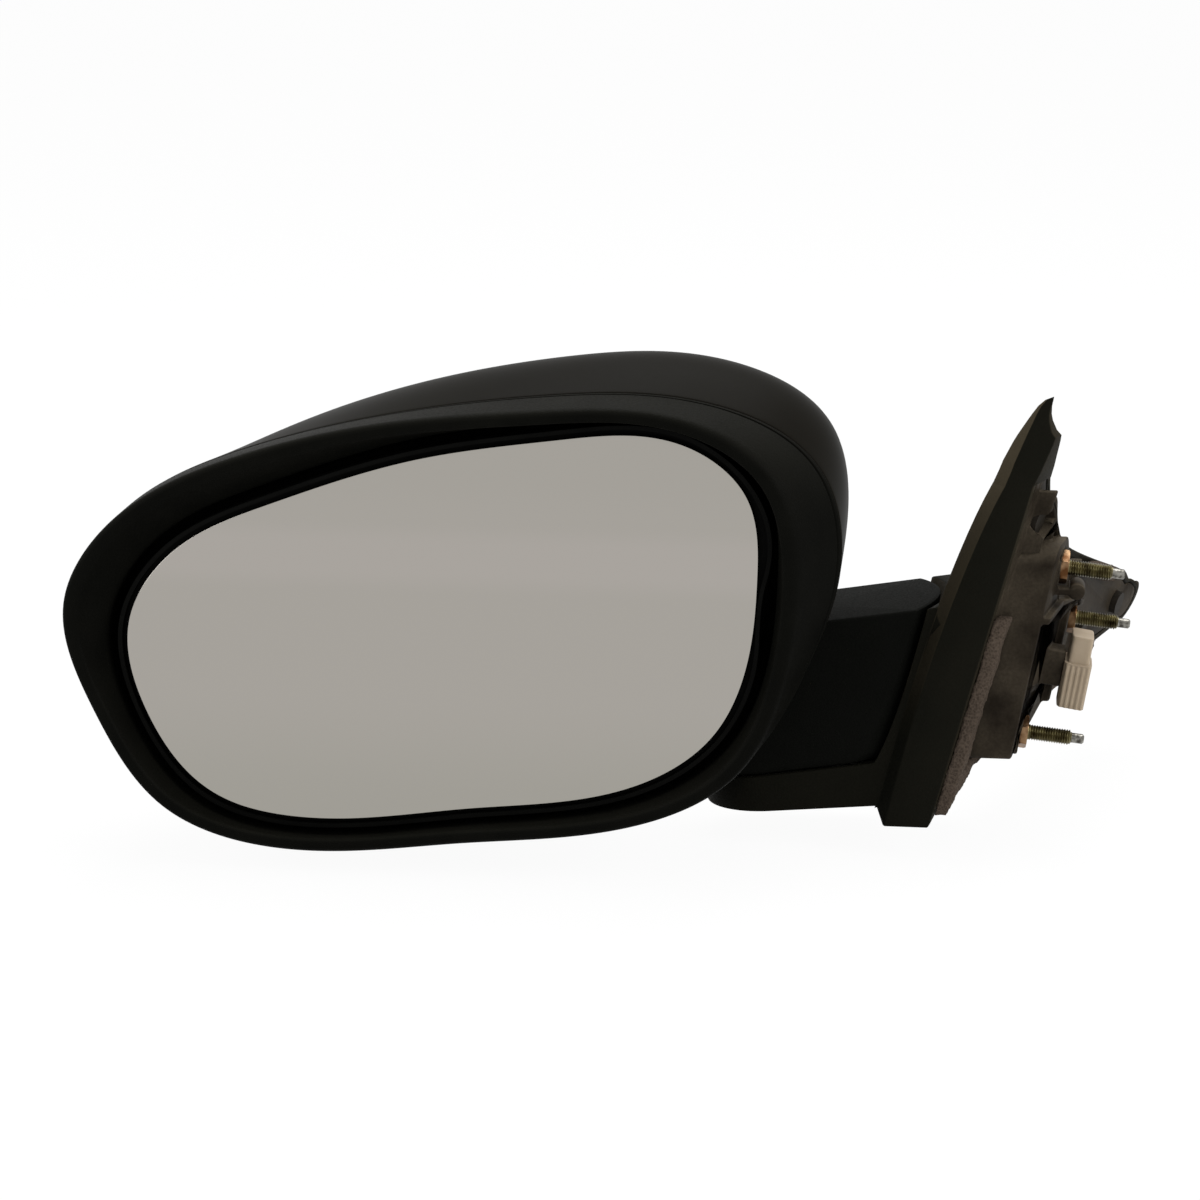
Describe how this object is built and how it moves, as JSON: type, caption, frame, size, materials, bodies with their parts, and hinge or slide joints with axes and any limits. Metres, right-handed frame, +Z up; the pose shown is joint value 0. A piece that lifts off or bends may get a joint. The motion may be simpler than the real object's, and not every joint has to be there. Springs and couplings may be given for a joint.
{
  "type": "car side mirror",
  "caption": "Left door mirror with a folding teardrop head, an electrically adjusted glass and a sail base on three studs.",
  "frame": {"origin": "middle of the circle of the three mounting studs, on a plane that crosses them all", "axes": "+X towards the car's door, +Y towards the front of the car, +Z up; the glass faces -Y"},
  "size_m": [0.3391, 0.1992, 0.157],
  "materials": {
    "textured_black": "fine moulded grain",
    "satin_cap": "smooth satin primer",
    "casting": "as-cast, dark",
    "foam": "closed-cell foam",
    "yellow_zinc": "yellow zinc plate",
    "white_nylon": "moulded",
    "terminal_brass": "tin-flashed",
    "mirror": "silvered glass",
    "pad": "adhesive foam",
    "holder_grey": "moulded",
    "frame_black": "glass-filled nylon",
    "steel": "plain steel",
    "black_screw": "black oxide",
    "drive_black": "moulded",
    "natural_acetal": "moulded acetal"
  },
  "bodies": {
    "base": {"base_casting": "casting", "sail_cover": "textured_black", "door_gasket": "foam", "mounting_studs": "yellow_zinc", "cover_screws": "black_screw", "connector_housing": "white_nylon", "connector_terminals": "terminal_brass", "fold_post": "steel", "detent_ring": "steel", "spring_washer": "steel", "post_clip": "steel"},
    "head": {"bezel": "textured_black", "cap": "satin_cap", "neck_cover": "textured_black", "head_frame": "frame_black", "detent_balls": "steel", "fold_spring": "steel", "drive_case": "drive_black", "drive_lid": "drive_black", "motor_pan": "steel", "motor_tilt": "steel", "drive_screws": "black_screw", "bezel_screws": "black_screw"},
    "gimbal": {"gimbal": "natural_acetal"},
    "glass": {"mirror_glass": "mirror", "glass_pad": "pad", "glass_holder": "holder_grey"},
    "jack_pan": {"jackscrew_pan": "natural_acetal"},
    "jack_tilt": {"jackscrew_tilt": "natural_acetal"},
    "gear_pan": {"gear_pan": "natural_acetal"},
    "gear_tilt": {"gear_tilt": "natural_acetal"}
  },
  "joints": [
    {"name": "fold", "type": "hinge", "parent": "base", "child": "head", "pos_m": [-0.075, -0.012, -0.035], "axis": [-0.1564, 0, 0.9877], "range_deg": [-45, 50]},
    {"name": "pan", "type": "hinge", "parent": "head", "child": "gimbal", "pos_m": [-0.196, -0.054, 0.015], "axis": [0, 0, 1], "range_deg": [-7, 7]},
    {"name": "tilt", "type": "hinge", "parent": "gimbal", "child": "glass", "pos_m": [-0.196, -0.054, 0.015], "axis": [1, 0, 0], "range_deg": [-7, 7]},
    {"name": "jack_pan_slide", "type": "slide", "parent": "head", "child": "jack_pan", "axis": [0, 1, 0], "range_m": [-0.0034, 0.0034]},
    {"name": "jack_tilt_slide", "type": "slide", "parent": "head", "child": "jack_tilt", "axis": [0, 1, 0], "range_m": [-0.0034, 0.0034]},
    {"name": "gear_pan_spin", "type": "hinge", "parent": "head", "child": "gear_pan", "pos_m": [-0.169, -0.054, 0.015], "axis": [0, 1, 0], "range_deg": [-210, 210]},
    {"name": "gear_tilt_spin", "type": "hinge", "parent": "head", "child": "gear_tilt", "pos_m": [-0.196, -0.054, -0.012], "axis": [0, 1, 0], "range_deg": [-210, 210]}
  ],
  "couplings": [
    {"joint": "jack_pan_slide", "follows": "pan", "m_per_rad": 0.027},
    {"joint": "jack_tilt_slide", "follows": "tilt", "m_per_rad": 0.027},
    {"joint": "gear_pan_spin", "follows": "pan", "ratio": 28.274},
    {"joint": "gear_tilt_spin", "follows": "tilt", "ratio": 28.274}
  ]
}
